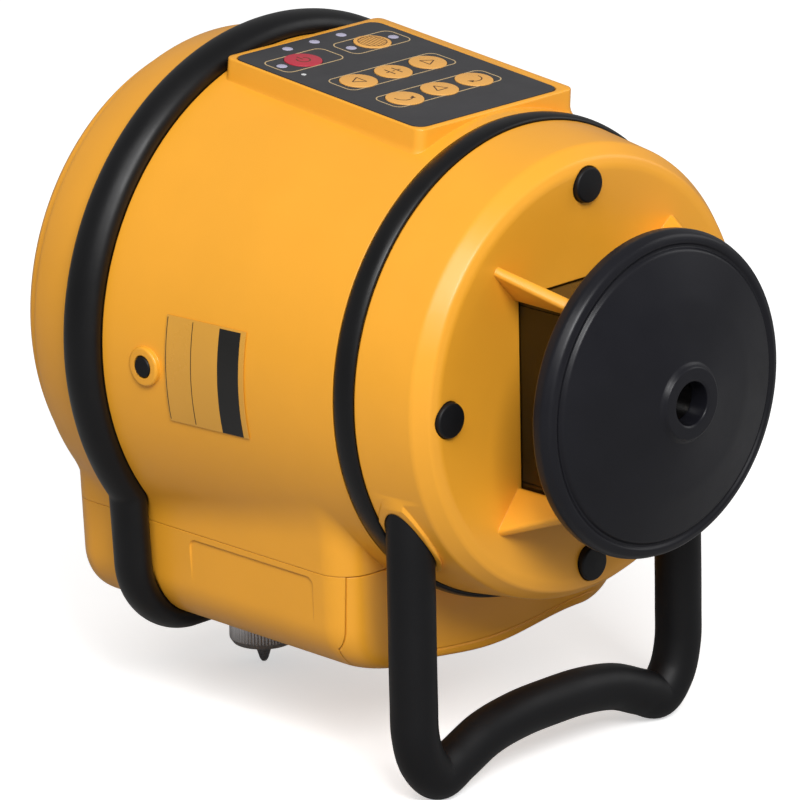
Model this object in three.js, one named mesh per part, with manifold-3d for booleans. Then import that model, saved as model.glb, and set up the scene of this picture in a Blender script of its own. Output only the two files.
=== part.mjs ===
// A rotating laser level, lying on its side as it is used to lay out vertical planes.
// It stands on the two low corners of its carrying handle and on a levelling foot at the rear.
//
// Everything is built in the instrument's own frame, in millimetres: the laser axis is local Y,
// y = 0 is the plane of the front cap's rim, +y runs to the rear base, +z is up and z = 0 is the
// laser axis. The last lines lift that frame onto the floor and centre it.

import * as THREE from "three";
import { mergeVertices } from "three/addons/utils/BufferGeometryUtils.js";
import { ConvexGeometry } from "three/addons/geometries/ConvexGeometry.js";
import Module from "manifold-3d";

const wasm = await Module();
wasm.setup();

// ---------------------------------------------------------------- driving dimensions
const GAP = 0.3; // clearance between neighbouring pieces
const WALL = 2.6; // moulded wall thickness
const SLIVER = 0.1; // detail smaller than this is merged away
const AXIS_HEIGHT = 126.5; // laser axis above the floor

const CAP_R = 50;
const HUB_Y = -14; // front of the cap's hub
const CAP_BACK_Y = 4.4;
const REAR_Y = 196; // flat face of the rear base
const BASE_R = 77;

const LANTERN_HALF_X = 26.7; // half width of the glass lantern
const LANTERN_HALF_Z = 29.6; // half height of the glass lantern
const HEAD_REAR_Y = 57.25;
const HEAD_R = 73.2;

// The two rubber rings are flattened: half their thickness, then half their width along the axis.
const RING_Y = 58.2;
const RING_R = 73.2;
const RING_SECTION = [1.5, 4];

const DRUM_TAPER = Math.tan(THREE.MathUtils.degToRad(5.5));
const DRUM_FRONT_Y = 57.6;
const DRUM_REAR_Y = 188.5;
const DRUM_REAR_R = 80;
const drumR = (y) => 74.3 + (y - 65.4) * DRUM_TAPER;

const BUMPER_Y = 160.8;
const BUMPER_R = 84.4;
const BUMPER_SECTION = [4.9, 7];

const BOX_HALF = 63.5; // battery box under the drum
const BOX_FRONT_Y = 70;
const BOX_REAR_Y = 195.5;
const BOX_DRAFT = 1.2; // each side wall leans in by this much towards the bottom
const BOX_BOTTOM_Z = -92;
const BOX_SAG = 3.3; // the bottom bulges down by this much in the middle
const SEAM_Z = -59; // parting line between the body and the battery case

const PAD_LEFT_X = -31.2; // the keypad's block isn't centred on its keys
const PAD_RIGHT_X = 34.6;
const OVERLAY_HALF = 30.2;
const OVERLAY_START = 1.9; // both ends are measured up the pad from its front edge
const OVERLAY_END = 82.9;
const PAD_FRONT_Y = 66.5;
const PAD_REAR_Y = 151.5;
const PAD_RISE = 0.8; // flat top above the drum's crown
const KEY_R = 5.8;
const KEY_PITCH = 14.7;
const KEY_ROWS = { mode: 134, middle: 109.8, lower: 89.9 };
const LED_R = 1.7;

const LEG_X = 57.7;
const LEG_Y = 47.1;
const GRIP_R = 7.3;

const FOOT_Y = 175;
const FOOT_SPINDLE_R = 3.2;
const GIMBAL_Y = 98; // the laser tilts about this point
const GIMBAL_PIN_R = 2.5;

const SIDE_BOSS_Y = 136.4; // a round boss with a plug on each side of the drum
const SIDE_BOSS_Z = -0.8;
const SIDE_BOSS_TIP_X = 82.4;
const TRIPOD_HOLE_R = 7.2; // 5/8 in tripod thread
const TRIPOD_INSERT_R = 9;
const PLUMB_HOLE_R = 6.7; // window in the middle of the cap

// ---------------------------------------------------------------- materials
const finish = (color, roughness, metalness) => () =>
  new THREE.MeshStandardMaterial({ color, roughness, metalness });
const YELLOW = finish(0xf2a93a, 0.42, 0);
const BLACK_PLASTIC = finish(0x2b2b2f, 0.5, 0);
const RUBBER = finish(0x1c1c1e, 0.72, 0);
const OVERLAY_GREY = finish(0x3b3b3e, 0.45, 0);
const KEY_AMBER = finish(0xe8ab52, 0.5, 0);
const KEY_RED = finish(0xc23040, 0.45, 0);
const LED_LENS = finish(0xb9b4c4, 0.25, 0);
const GLASS = finish(0x2e2210, 0.06, 0);
const CHROME = finish(0xc8c8cc, 0.18, 1);
const BRASS = finish(0xb08d4a, 0.3, 1);
const ALUMINIUM = finish(0xa9abae, 0.38, 1);
const STEEL = finish(0x85878b, 0.35, 1);
const BOARD_GREEN = finish(0x1f5a38, 0.6, 0);
const CELL_SLEEVE = finish(0x40474f, 0.35, 0.3);
const LABEL = finish(0xe9b23c, 0.4, 0);

// ---------------------------------------------------------------- solids
function solid(geometry) {
  const bare = geometry.index ? geometry.toNonIndexed() : geometry.clone();
  bare.deleteAttribute("normal");
  bare.deleteAttribute("uv");
  const merged = mergeVertices(bare, 1e-4);
  const vertProperties = new Float32Array(merged.attributes.position.array);
  const triVerts = new Uint32Array(merged.index.array);
  const made = new wasm.Manifold(new wasm.Mesh({ numProp: 3, vertProperties, triVerts }));
  if (made.volume() > 0) return made;
  for (let i = 0; i < triVerts.length; i += 3) {
    [triVerts[i + 1], triVerts[i + 2]] = [triVerts[i + 2], triVerts[i + 1]];
  }
  return new wasm.Manifold(new wasm.Mesh({ numProp: 3, vertProperties, triVerts }));
}

const union = (...parts) => parts.reduce((whole, part) => whole.add(part));
const cut = (whole, ...tools) => tools.reduce((rest, tool) => rest.subtract(tool), whole);

// A profile of [radius, y] points turned about the laser axis.
function turned(profile, segments = 44) {
  const points = profile.map(([r, y]) => new THREE.Vector2(r, y));
  const onAxis = profile[0][0] === 0 && profile.at(-1)[0] === 0;
  if (!onAxis) points.push(points[0].clone());
  return new THREE.LatheGeometry(points, segments);
}

const turnedSolid = (profile, segments) => solid(turned(profile, segments));

function block(x0, x1, y0, y1, z0, z1) {
  const box = new THREE.BoxGeometry(x1 - x0, y1 - y0, z1 - z0);
  return solid(box.translate((x0 + x1) / 2, (y0 + y1) / 2, (z0 + z1) / 2));
}

// Round bars along each axis, from one end to the other.
function barY(r, y0, y1, x = 0, z = 0, segments = 20) {
  const bar = new THREE.CylinderGeometry(r, r, y1 - y0, segments);
  return solid(bar.translate(x, (y0 + y1) / 2, z));
}

function barZ(r, z0, z1, x = 0, y = 0, segments = 20) {
  const bar = new THREE.CylinderGeometry(r, r, z1 - z0, segments);
  return solid(bar.rotateX(Math.PI / 2).translate(x, y, (z0 + z1) / 2));
}

function barX(r, x0, x1, y = 0, z = 0, segments = 24) {
  const bar = new THREE.CylinderGeometry(r, r, x1 - x0, segments);
  return solid(bar.rotateZ(Math.PI / 2).translate((x0 + x1) / 2, y, z));
}

// A ring or sleeve about the laser axis.
const tubeY = (inner, outer, y0, y1, segments) =>
  turnedSolid([[inner, y0], [outer, y0], [outer, y1], [inner, y1]], segments);

// A shape drawn in X and Y, given a thickness along Z.
function plate(shape, z0, z1, curveSegments = 6) {
  const flat = new THREE.ExtrudeGeometry(shape, {
    depth: z1 - z0,
    bevelEnabled: false,
    curveSegments,
  });
  return flat.translate(0, 0, z0);
}

function roundedRectangle(x0, x1, y0, y1, r) {
  const shape = new THREE.Shape();
  shape.moveTo(x0 + r, y0);
  shape.lineTo(x1 - r, y0);
  shape.absarc(x1 - r, y0 + r, r, -Math.PI / 2, 0);
  shape.lineTo(x1, y1 - r);
  shape.absarc(x1 - r, y1 - r, r, 0, Math.PI / 2);
  shape.lineTo(x0 + r, y1);
  shape.absarc(x0 + r, y1 - r, r, Math.PI / 2, Math.PI);
  shape.lineTo(x0, y0 + r);
  shape.absarc(x0 + r, y0 + r, r, Math.PI, 1.5 * Math.PI);
  return shape;
}

const instrument = new THREE.Group();

function add(name, made, material) {
  const { vertProperties, triVerts } = made.simplify(SLIVER).getMesh();
  const geometry = new THREE.BufferGeometry();
  geometry.setAttribute("position", new THREE.BufferAttribute(vertProperties, 3));
  geometry.setIndex(new THREE.BufferAttribute(triVerts, 1));
  const flat = geometry.toNonIndexed();
  flat.computeVertexNormals();
  const mesh = new THREE.Mesh(flat, material());
  mesh.name = name;
  instrument.add(mesh);
}

// ---------------------------------------------------------------- rubber rings
// The rear bumper runs round the drum, turns down the sides of the battery box and crosses under it.
function bumperPath() {
  const sideX = 67.9;
  const bottomZ = -94;
  const cornerR = 22;
  const creaseAngle = Math.acos(sideX / BUMPER_R);
  const points = [];
  const arcSteps = 36;
  for (let i = 0; i <= arcSteps; i++) {
    const angle = -creaseAngle + ((Math.PI + 2 * creaseAngle) * i) / arcSteps;
    points.push(new THREE.Vector3(BUMPER_R * Math.cos(angle), 0, BUMPER_R * Math.sin(angle)));
  }
  const cornerSteps = 6;
  for (const side of [-1, 1]) {
    for (let i = 0; i <= cornerSteps; i++) {
      const turn = (Math.PI / 2) * (side < 0 ? i : cornerSteps - i) / cornerSteps;
      const x = side * (sideX - cornerR - 0.6 + cornerR * Math.cos(turn));
      const z = bottomZ + cornerR - cornerR * Math.sin(turn);
      points.push(new THREE.Vector3(x, 0, z));
    }
  }
  return new THREE.CatmullRomCurve3(points, true, "centripetal");
}

// A cord of round section, stretched along the laser axis and set in its place.
function flattened(cord, [thick, wide], y) {
  return solid(cord.scale(1, wide / thick, 1).translate(0, y, 0));
}

function rearBumper(clearance) {
  const section = BUMPER_SECTION.map((half) => half + clearance);
  const cord = new THREE.TubeGeometry(bumperPath(), 60, section[0], 10, true);
  return flattened(cord, section, BUMPER_Y);
}

function frontRing(clearance) {
  const section = RING_SECTION.map((half) => half + clearance);
  const torus = new THREE.TorusGeometry(RING_R, section[0], 10, 48);
  return flattened(torus.rotateX(Math.PI / 2), section, RING_Y);
}

// ---------------------------------------------------------------- body and battery case
// The battery box's cross-section, inset by the wall for the hollow inside it.
function boxSection(inset) {
  const top = BOX_HALF - inset;
  const half = top - BOX_DRAFT;
  const bottom = BOX_BOTTOM_Z + inset;
  const r = 17 - inset;
  const shape = new THREE.Shape();
  shape.moveTo(top, -20);
  shape.lineTo(-top, -20);
  shape.lineTo(-top, -45);
  shape.lineTo(-half, bottom + r);
  shape.absarc(-half + r, bottom + r, r, Math.PI, 1.5 * Math.PI);
  shape.quadraticCurveTo(0, bottom - 2 * BOX_SAG, half - r, bottom);
  shape.absarc(half - r, bottom + r, r, 1.5 * Math.PI, 2 * Math.PI);
  shape.lineTo(top, -45);
  return shape;
}

function boxOutline(inset) {
  const y0 = BOX_FRONT_Y + inset;
  const y1 = BOX_REAR_Y - inset;
  const section = plate(boxSection(inset), -y1, -y0).rotateX(Math.PI / 2);
  const plan = roundedRectangle(-BOX_HALF + inset, BOX_HALF - inset, y0, y1, 11 - inset);
  return solid(section).intersect(solid(plate(plan, -110, -10)));
}

// The keypad's flat top follows the drum's taper, so it is built level and then tilted.
const padSlope = Math.atan(DRUM_TAPER);
const padOrigin = new THREE.Vector3(0, PAD_FRONT_Y, drumR(PAD_FRONT_Y) + PAD_RISE);
const padPlacement = new THREE.Matrix4()
  .makeRotationX(padSlope)
  .setPosition(padOrigin);
const onPad = (geometry) => solid(geometry.applyMatrix4(padPlacement));
const padLength = (PAD_REAR_Y - PAD_FRONT_Y) / Math.cos(padSlope);
const alongPad = (y) => (y - PAD_FRONT_Y) / Math.cos(padSlope);

function padDisc(r, x, y, w0, w1, segments = 16) {
  const disc = new THREE.CylinderGeometry(r, r, w1 - w0, segments).rotateX(Math.PI / 2);
  return onPad(disc.translate(x, alongPad(y), (w0 + w1) / 2));
}

const KEYS = [
  ["power_key", -KEY_PITCH, KEY_ROWS.mode, KEY_RED],
  ["speed_key", KEY_PITCH, KEY_ROWS.mode, KEY_AMBER],
  ["left_key", -KEY_PITCH, KEY_ROWS.middle, KEY_AMBER],
  ["mode_key", 0, KEY_ROWS.middle, KEY_AMBER],
  ["right_key", KEY_PITCH, KEY_ROWS.middle, KEY_AMBER],
  ["turn_left_key", -KEY_PITCH, KEY_ROWS.lower, KEY_AMBER],
  ["up_key", 0, KEY_ROWS.lower, KEY_AMBER],
  ["turn_right_key", KEY_PITCH, KEY_ROWS.lower, KEY_AMBER],
];

const LEDS = [
  ["battery_led", -10.8, 145],
  ["level_led", 0.6, 145],
  ["tilt_led", 12, 145],
  ["power_led", -23.6, KEY_ROWS.mode],
  ["slow_led", 5.7, KEY_ROWS.mode],
  ["fast_led", 23.7, KEY_ROWS.mode],
];

const overlayShape = (margin) => {
  const halfX = OVERLAY_HALF + margin;
  return roundedRectangle(-halfX, halfX, OVERLAY_START - margin, OVERLAY_END + margin, 4);
};

// The round rear base is let into the back of the body and of the battery box.
const basePocket = () => barY(BASE_R + GAP, DRUM_REAR_Y, 210, 0, 0, 64);

const HOLLOW_REAR_R = 76.6;

function makeBody() {
  const shell = turnedSolid([
    [0, DRUM_FRONT_Y],
    [drumR(DRUM_FRONT_Y) - 0.4, DRUM_FRONT_Y],
    [drumR(DRUM_FRONT_Y), DRUM_FRONT_Y + 1],
    [drumR(162), 162],
    [82.2, 178],
    [DRUM_REAR_R + 0.5, DRUM_REAR_Y - 1],
    [DRUM_REAR_R, DRUM_REAR_Y],
    [0, DRUM_REAR_Y],
  ]);
  const pad = onPad(plate(roundedRectangle(PAD_LEFT_X, PAD_RIGHT_X, 0, padLength, 3), -14, 0));
  const sideBosses = barX(6.2, -SIDE_BOSS_TIP_X, SIDE_BOSS_TIP_X, SIDE_BOSS_Y, SIDE_BOSS_Z);
  const lockBoss = block(70, 81.6, 92, 120, -9, 9);
  const outer = union(shell, boxOutline(0), pad, sideBosses, lockBoss);
  const underBox = block(-90, 90, BOX_FRONT_Y, 200, -130, SEAM_Z);

  // The wall is thicker behind the two rubber rings, where a groove is cut into it.
  const hollow = turnedSolid([
    [0, 50],
    [69.4, 50],
    [69.4, 65],
    [drumR(67) - WALL, 67],
    [drumR(150) - WALL, 150],
    [HOLLOW_REAR_R, 153],
    [HOLLOW_REAR_R, 200],
    [0, 200],
  ]);
  const boxHollow = boxOutline(WALL).intersect(block(-90, 90, 60, 152, SEAM_Z + WALL, -10));
  const floor = block(-58, 58, BOX_FRONT_Y, BOX_REAR_Y - 12, SEAM_Z, SEAM_Z + WALL);

  const overlayRecess = onPad(plate(overlayShape(GAP), -0.8, 5));
  const keyHoles = KEYS.map(([, x, y]) => padDisc(KEY_R + GAP, x, y, -12, 2));
  const plugHoles = [-90, 78].map((x) => barX(3.6, x, x + 12, SIDE_BOSS_Y, SIDE_BOSS_Z));
  const lockSlot = block(79.2, 90, 96, 116, -5, 5);

  const cored = cut(outer, hollow, boxHollow, underBox).add(floor);
  return cut(
    cored,
    rearBumper(GAP),
    frontRing(GAP),
    basePocket(),
    overlayRecess,
    ...keyHoles,
    ...plugHoles,
    lockSlot,
  );
}

const DOOR_HALF = 59.4;
const DOOR_REAR_Y = 77; // the door wraps round the box's front corners as far as this

// The battery door is the box's front wall and front lip; it slides down to open the bay.
function makeDoor() {
  const slab = block(-DOOR_HALF, DOOR_HALF, 60, DOOR_REAR_Y, -110, SEAM_Z - GAP);
  return cut(boxOutline(0).intersect(slab), boxOutline(WALL));
}

function makeBatteryCase() {
  const top = block(-90, 90, 60, 200, -130, SEAM_Z - GAP);
  const bay = boxOutline(WALL).intersect(block(-90, 90, 60, 130, -130, SEAM_Z - 2.8));
  const rearPocket = boxOutline(WALL).intersect(block(-90, 90, 133, 184.6, -130, -50));
  const footBoss = barZ(11, BOX_BOTTOM_Z - 2, -66, 0, FOOT_Y);
  const doorway = block(-DOOR_HALF - GAP, DOOR_HALF + GAP, 60, DOOR_REAR_Y + GAP, -110, -50);
  const cased = boxOutline(0).intersect(top);
  const cored = cut(cased, bay, rearPocket).add(footBoss);
  return cut(
    cored,
    doorway,
    barZ(7 + GAP, -110, -60, 0, FOOT_Y),
    rearBumper(GAP),
    basePocket(),
    sidePanel(-1),
    sidePanel(1),
  );
}

// A shallow rounded recess on one side wall of the battery case.
function sidePanel(side) {
  const outline = roundedRectangle(84.7, 139.4, -77.7, -61.2, 2.5);
  const slab = plate(outline, 0, 6, 3).rotateX(Math.PI / 2).rotateZ(Math.PI / 2);
  const box = new THREE.Box3().setFromBufferAttribute(slab.attributes.position);
  const x = side < 0 ? -BOX_HALF + 0.6 - box.max.x : BOX_HALF - 0.6 - box.min.x;
  return solid(slab.translate(x, 0, 0));
}

function makeRearBase() {
  const plateSolid = turnedSolid([
    [0, DRUM_REAR_Y + 0.4],
    [BASE_R, DRUM_REAR_Y + 0.4],
    [BASE_R - 0.4, 193.6],
    [BASE_R - 1.6, 195.4],
    [BASE_R - 3, REAR_Y],
    [0, REAR_Y],
  ]);
  const spigot = tubeY(HOLLOW_REAR_R - 3.6, HOLLOW_REAR_R - GAP, 180, DRUM_REAR_Y + 2, 64);
  const boxSide = block(-90, 90, 170, DRUM_REAR_Y + 0.39, -90, -50);
  const boss = barY(15, 174, 190, 0, 0, 32);
  const insertHole = barY(TRIPOD_INSERT_R + GAP, 170, 200, 0, 0, 32);
  return cut(union(plateSolid, cut(spigot, boxSide), boss), insertHole);
}

// ---------------------------------------------------------------- head, cap and handle
const PLUG_RING_R = 59.2; // screw covers, at the quarters of the head's face
const PLUG_R = 5.4;
const QUARTERS = [
  ["top", 0, 1],
  ["left", -1, 0],
  ["bottom", 0, -1],
  ["right", 1, 0],
];

// A tapering gusset at one corner of the lantern, from the head's face out to the cap.
function lanternRib(sideX, sideZ) {
  const frontY = CAP_BACK_Y + GAP;
  const corners = [
    [0.4, 33, 1.4],
    [17, 31.2, 1.2],
    [6.4, frontY, 2.7],
    [0.4, frontY, 2.7],
  ];
  // Each corner: how far it is outside the lantern's corner, its y and its half thickness.
  const points = corners.flatMap(([reach, y, half]) =>
    [-half, half].map((across) => {
      const x = LANTERN_HALF_X + (reach + across) / Math.SQRT2;
      const z = LANTERN_HALF_Z + (reach - across) / Math.SQRT2;
      return new THREE.Vector3(sideX * x, y, sideZ * z);
    }),
  );
  return solid(new ConvexGeometry(points));
}

function makeHeadCover() {
  const skin = (inset, rear) => [
    [0, 30.8 + inset],
    [40, 30.8 + inset],
    [55, 29.2 + inset],
    [63.5 - 0.4 * inset, 28 + inset],
    [66.6 - 0.7 * inset, 28.9 + 0.8 * inset],
    [70 - inset, 33.6 + 0.5 * inset],
    [HEAD_R - inset, HEAD_REAR_Y - 0.6],
    [HEAD_R - 0.6 - inset, rear],
    [0, rear],
  ];
  const inside = turnedSolid(skin(WALL, HEAD_REAR_Y + 5));
  const atQuarters = (r, y0, y1) =>
    QUARTERS.map(([, x, z]) => barY(r, y0, y1, x * PLUG_RING_R, z * PLUG_RING_R, 18));
  const bosses = atQuarters(PLUG_R + 2.2, 29.5, 42);
  const pockets = atQuarters(PLUG_R + GAP, 20, 31);
  const ribs = [-1, 1].flatMap((sx) => [-1, 1].map((sz) => lanternRib(sx, sz)));
  const collarReach = barY(HEAD_R + 0.4, 37, HEAD_REAR_Y, 0, 0, 44);
  const sockets = [-1, 1].map((side) => barZ(9.6, -66, -20, side * LEG_X, LEG_Y).intersect(collarReach));
  const legHoles = [-1, 1].map((side) => barZ(GRIP_R + GAP, -90, -23.5, side * LEG_X, LEG_Y));
  const openingX = LANTERN_HALF_X + GAP;
  const openingZ = LANTERN_HALF_Z + GAP;
  const opening = block(-openingX, openingX, 20, 45, -openingZ, openingZ);
  const shell = cut(turnedSolid(skin(0, HEAD_REAR_Y)), inside);
  const cover = union(shell, ...bosses, ...ribs, ...sockets);
  return cut(cover, opening, ...pockets, ...legHoles, frontRing(GAP));
}

function makeCap() {
  return turnedSolid([
    [PLUMB_HOLE_R, HUB_Y],
    [11.6, HUB_Y],
    [12.6, -12.3],
    [30, -8.2],
    [45.2, -3],
    [48.4, -3],
    [CAP_R, 0.2],
    [48.2, CAP_BACK_Y],
    [39, CAP_BACK_Y],
    [38, 0.4],
    [9.4, -8.6],
    [9.4, 1],
    [PLUMB_HOLE_R, 1],
  ]);
}

// One leg, the two large corners and the wavy cross grip, as a single bent bar.
function handlePath() {
  const half = [
    [LEG_X, -24],
    [LEG_X, -60],
    [LEG_X, -92],
    [LEG_X - 0.4, -104],
    [LEG_X - 3.4, -113.4],
    [LEG_X - 9.6, -119.2],
    [LEG_X - 17.6, -116.2],
    [28, -111.2],
    [14, -108.9],
  ];
  const right = half.map(([x, z]) => new THREE.Vector3(x, LEG_Y, z));
  const left = half.map(([x, z]) => new THREE.Vector3(-x, LEG_Y, z)).reverse();
  const middle = new THREE.Vector3(0, LEG_Y, -108.5);
  return new THREE.CatmullRomCurve3([...right, middle, ...left], false, "centripetal");
}

function makeHandle() {
  const circle = new THREE.Shape().absarc(0, 0, GRIP_R, 0, 2 * Math.PI);
  const bent = new THREE.ExtrudeGeometry(circle, {
    steps: 66,
    curveSegments: 6,
    bevelEnabled: false,
    extrudePath: handlePath(),
  });
  return solid(bent);
}

// ---------------------------------------------------------------- levelling foot
function standing(profile, y, segments = 36) {
  const points = profile.map(([r, z]) => new THREE.Vector2(r, z));
  const onAxis = profile[0][0] === 0 && profile.at(-1)[0] === 0;
  if (!onAxis) points.push(points[0].clone());
  return solid(new THREE.LatheGeometry(points, segments).rotateX(Math.PI / 2).translate(0, y, 0));
}

function makeFootSpindle() {
  const tipZ = -AXIS_HEIGHT;
  return standing(
    [
      [0, tipZ],
      [0.9, tipZ + 0.35],
      [1.4, tipZ + 1.1],
      [3.1, tipZ + 6.6],
      [FOOT_SPINDLE_R, -76.4],
      [2.8, -76],
      [0, -76],
    ],
    FOOT_Y,
    20,
  );
}

const makeFootKnob = () =>
  standing(
    [
      [FOOT_SPINDLE_R + GAP, -119.3],
      [10.2, -119.3],
      [10.9, -118.6],
      [10.9, -104.8],
      [10.2, -104.1],
      [FOOT_SPINDLE_R + GAP, -104.1],
    ],
    FOOT_Y,
  );

const makeFootBush = () =>
  standing(
    [
      [FOOT_SPINDLE_R + GAP, -96.5],
      [6.6, -96.5],
      [7, -96],
      [7, -70],
      [FOOT_SPINDLE_R + GAP, -70],
    ],
    FOOT_Y,
    28,
  );

// ---------------------------------------------------------------- rotating head and laser
function makeRotor() {
  const turret = turnedSolid(
    [
      [0, 9],
      [13.6, 9],
      [15, 10.4],
      [15, 30],
      [8, 31],
      [8, 57],
      [6, 57],
      [6, 27.5],
      [0, 27.5],
    ],
    36,
  );
  return cut(turret, block(-7.5, 7.5, 11.5, 29, -20, 8));
}

function makeColumn() {
  const tube = turnedSolid(
    [
      [17, 34.5],
      [17, 60],
      [19, 62],
      [19, 122],
      [11.5, 122],
      [11.5, 60],
      [14.3, 60],
      [14.3, 34.5],
    ],
    36,
  );
  const pins = [-1, 1].map((side) => {
    const [low, high] = [17 * side, 28 * side].sort((a, b) => a - b);
    return barZ(GIMBAL_PIN_R, low, high, 0, GIMBAL_Y, 12);
  });
  const arms = union(block(17.5, 38, 110, 114, -4, 4), block(-4, 4, 110, 114, -38, -17.5));
  return union(tube, ...pins, arms);
}

const makeLaserModule = () =>
  turnedSolid(
    [
      [0, 64],
      [8, 64],
      [8, 70],
      [11.2, 72],
      [11.2, 118],
      [6, 128],
      [0, 128],
    ],
    32,
  );

function makeGimbalRing() {
  const ring = tubeY(22.5, 28.2, GIMBAL_Y - 5.5, GIMBAL_Y + 5.5, 36);
  const pins = [-1, 1].map((side) => {
    const [low, high] = [27.5 * side, 38.5 * side].sort((a, b) => a - b);
    return barX(GIMBAL_PIN_R, low, high, GIMBAL_Y, 0, 12);
  });
  return cut(union(ring, ...pins), barZ(GIMBAL_PIN_R + GAP, -32, 32, 0, GIMBAL_Y, 12));
}

function makeGimbalFrame() {
  const ring = tubeY(33.5, 40, GIMBAL_Y - 5.5, GIMBAL_Y + 5.5, 36);
  const spokes = [45, 135, 225, 315].map((degrees) => {
    const spoke = new THREE.BoxGeometry(35, 11, 6).translate(56, GIMBAL_Y, 0);
    return solid(spoke.rotateY(THREE.MathUtils.degToRad(degrees)));
  });
  return cut(union(ring, ...spokes), barX(GIMBAL_PIN_R + GAP, -45, 45, GIMBAL_Y, 0, 12));
}

function makeLevelMotor(x, z) {
  const can = barY(7.5, 124, 150, x, z, 24);
  const screw = barY(1.5, 118.5, 125, x, z, 12);
  return can.add(screw);
}

// ---------------------------------------------------------------- assembly
add("body_housing", makeBody(), YELLOW);
add("battery_case", makeBatteryCase(), YELLOW);
add("battery_door", makeDoor(), YELLOW);
add("rear_base", makeRearBase(), YELLOW);
add("tripod_insert", tubeY(TRIPOD_HOLE_R, TRIPOD_INSERT_R, 176, REAR_Y - 0.3, 32), BRASS);
add("rear_bumper", rearBumper(0), RUBBER);
add("front_ring", frontRing(0), RUBBER);
add("head_cover", makeHeadCover(), YELLOW);
add("handle_grip", makeHandle(), RUBBER);
add("cap_disc", makeCap(), BLACK_PLASTIC);
add("plumb_window", barY(PLUMB_HOLE_R - GAP, -7.5, -5.5, 0, 0, 32), GLASS);

for (const [place, x, z] of QUARTERS) {
  const plug = barY(PLUG_R, 27.3, 30.6, x * PLUG_RING_R, z * PLUG_RING_R, 24);
  add(`head_plug_${place}`, plug, RUBBER);
}
add("side_plug_left", barX(3.3, -82.8, -79, SIDE_BOSS_Y, SIDE_BOSS_Z, 20), RUBBER);
add("side_plug_right", barX(3.3, 79, 82.8, SIDE_BOSS_Y, SIDE_BOSS_Z, 20), RUBBER);

const PANE = 2; // glass thickness
const paneFront = CAP_BACK_Y + GAP;
const paneEnd = LANTERN_HALF_Z - PANE - GAP;
for (const side of [-1, 1]) {
  const [left, right] = [side * LANTERN_HALF_X, side * (LANTERN_HALF_X - PANE)].sort((a, b) => a - b);
  const [low, high] = [side * LANTERN_HALF_Z, side * (LANTERN_HALF_Z - PANE)].sort((a, b) => a - b);
  const sidePane = block(left, right, paneFront, 36, -paneEnd, paneEnd);
  const levelPane = block(-LANTERN_HALF_X, LANTERN_HALF_X, paneFront, 36, low, high);
  add(`glass_pane_${side < 0 ? "left" : "right"}`, sidePane, GLASS);
  add(`glass_pane_${side < 0 ? "bottom" : "top"}`, levelPane, GLASS);
}

const overlayHoles = [
  ...KEYS.map(([, x, y]) => padDisc(KEY_R + GAP, x, y, -2, 2)),
  ...LEDS.map(([, x, y]) => padDisc(LED_R + GAP, x, y, -2, 2, 10)),
];
add("keypad_overlay", cut(onPad(plate(overlayShape(0), -0.5, 0.15)), ...overlayHoles), OVERLAY_GREY);
for (const [name, x, y, material] of KEYS) {
  const cap = padDisc(KEY_R, x, y, -2.6, 0.45);
  add(name, cap.add(padDisc(1.5, x, y, -7.4, -2, 10)), material);
}
for (const [name, x, y] of LEDS) add(name, padDisc(LED_R, x, y, -0.5, 0.3, 10), LED_LENS);
const keypadBoard = plate(roundedRectangle(-22, 22, 6, padLength - 6, 2), -9.8, -8.4, 3);
add("keypad_board", onPad(keypadBoard), BOARD_GREEN);

const LABEL_FRONT_Y = 96.6;
const LABEL_REAR_Y = 128;
const labelSkin = turnedSolid(
  [
    [drumR(LABEL_FRONT_Y) + 0.3, LABEL_FRONT_Y],
    [drumR(LABEL_FRONT_Y) + 0.8, LABEL_FRONT_Y],
    [drumR(LABEL_REAR_Y) + 0.8, LABEL_REAR_Y],
    [drumR(LABEL_REAR_Y) + 0.3, LABEL_REAR_Y],
  ],
  96,
);
add("rating_label", labelSkin.intersect(block(-100, 0, 90, 135, -16.6, 16.8)), LABEL);

const lockBase = block(79.6, 81.4, 96.8, 106.8, -4.4, 4.4);
add("lock_switch", lockBase.add(block(81, 84.6, 100, 103.6, -4.4, 4.4)), BLACK_PLASTIC);

add("foot_spindle", makeFootSpindle(), STEEL);
add("foot_knob", makeFootKnob(), CHROME);
add("foot_bush", makeFootBush(), BRASS);

add("rotor_head", makeRotor(), ALUMINIUM);
add("penta_prism", block(-7, 7, 12, 26, -7, 7), GLASS);
add("spindle_bearing", tubeY(8.3, 14, 48, 56, 36), STEEL);
add("rotor_motor", tubeY(9, 14, 36, 46, 36), BRASS);
add("laser_column", makeColumn(), ALUMINIUM);
add("laser_module", makeLaserModule(), BRASS);
add("gimbal_ring", makeGimbalRing(), ALUMINIUM);
add("gimbal_frame", makeGimbalFrame(), ALUMINIUM);
add("level_motor_side", makeLevelMotor(33, 0), STEEL);
add("level_motor_below", makeLevelMotor(0, -33), STEEL);
add("main_board", block(-38, 38, 76, 150, -53.6, -52), BOARD_GREEN);

const CELL_R = 13; // C size
const CELL_Z = -75.1;
const cellX = [-40.8, -13.6, 13.6, 40.8];
cellX.forEach((x, i) => {
  const sleeve = barY(CELL_R, 77, 126, x, CELL_Z, 24);
  add(`battery_cell_${i + 1}`, sleeve.add(barY(3.4, 75.4, 77.5, x, CELL_Z, 12)), CELL_SLEEVE);
});
add("contact_strip", block(-52, 52, 128, 129, -83, -67), STEEL);

// Stand the instrument on the floor, with the middle of its length at the origin.
instrument.position.set(0, -(HUB_Y + REAR_Y) / 2, AXIS_HEIGHT);
const laserLevel = new THREE.Group();
laserLevel.name = "rotating_laser_level";
laserLevel.add(instrument);

export default laserLevel;
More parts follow.
